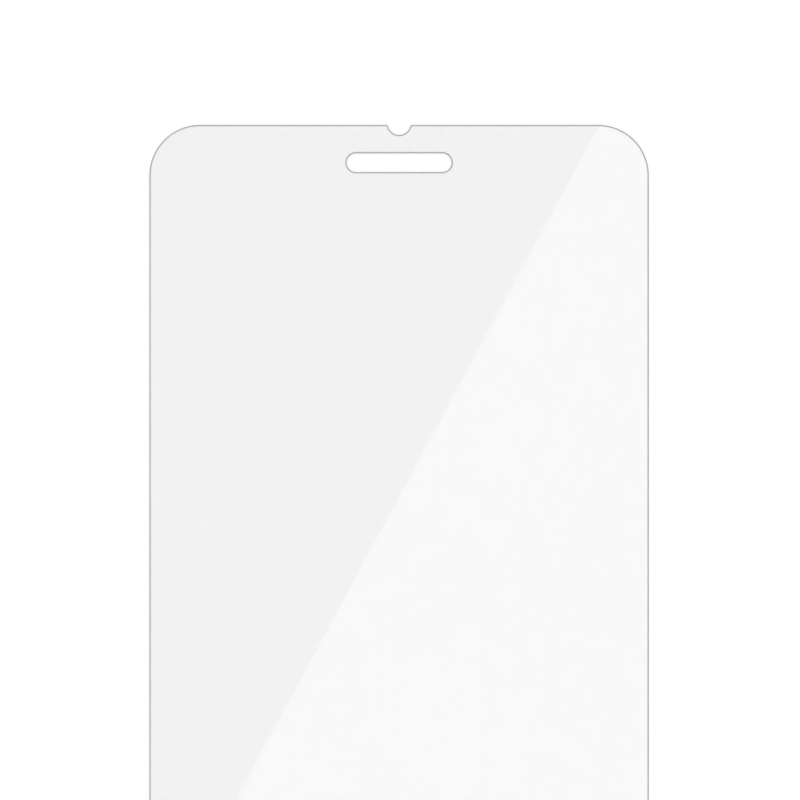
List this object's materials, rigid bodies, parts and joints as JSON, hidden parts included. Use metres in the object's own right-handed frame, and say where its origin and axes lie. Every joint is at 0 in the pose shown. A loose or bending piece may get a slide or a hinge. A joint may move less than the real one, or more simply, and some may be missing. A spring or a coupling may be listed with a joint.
{
  "type": "phone screen protector",
  "caption": "Flat clear glass sheet with rounded corners, a sensor notch in its top edge and an earpiece slot; goes over the front of a phone to shield the screen.",
  "frame": {"origin": "middle of the back face, the side that goes against the phone", "axes": "+X across the sheet to the right as seen from the front, +Y along it to the earpiece end, +Z out of the front face"},
  "size_m": [0.062, 0.132, 0.0004],
  "materials": {
    "clear_glass": "clear, polished faces with a finely ground grey edge"
  },
  "bodies": {
    "root": {"glass_sheet": "clear_glass"}
  },
  "joints": []
}
